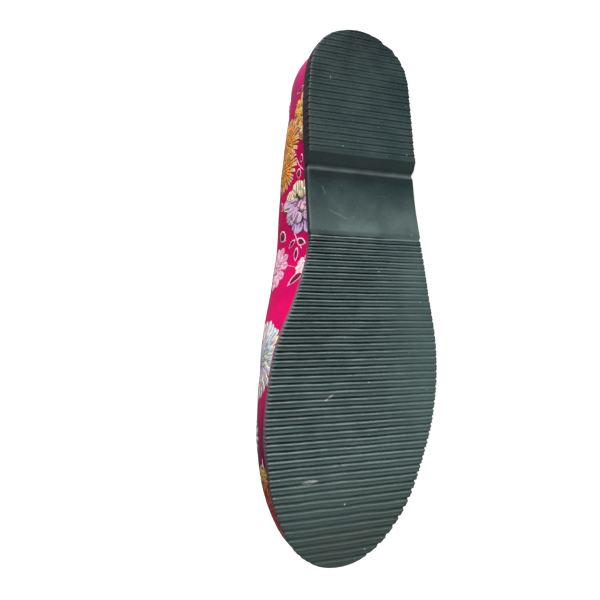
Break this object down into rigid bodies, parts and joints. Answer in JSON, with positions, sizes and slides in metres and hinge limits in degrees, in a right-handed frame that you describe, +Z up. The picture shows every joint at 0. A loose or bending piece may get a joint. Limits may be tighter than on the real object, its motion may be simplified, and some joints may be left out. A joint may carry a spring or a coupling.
{
  "type": "embroidered ballet flat",
  "caption": "Slip-on flat shoe for the right foot: brocade upper with bound collar, sock and ribbed rubber outsole with a low heel, lying on its outer side.",
  "frame": {"origin": "on the floor under the middle of the shoe's box, the shoe lying on its outer side", "axes": "+X to the heel, +Y from the tread into the shoe, +Z up, from the outer side to the inner side"},
  "size_m": [0.2514, 0.0594, 0.0872],
  "materials": {
    "rubber": "dark green-grey moulded rubber, satin, lightly scuffed",
    "brocade": "crimson satin brocade with raised woven blossoms and sprigs",
    "sock": "plain woven cotton over a thin pad",
    "satin": "dark crimson satin strip, folded and sewn"
  },
  "bodies": {
    "root": {"outsole": "rubber", "upper": "brocade", "insole": "sock", "collar_binding": "satin"}
  },
  "joints": []
}
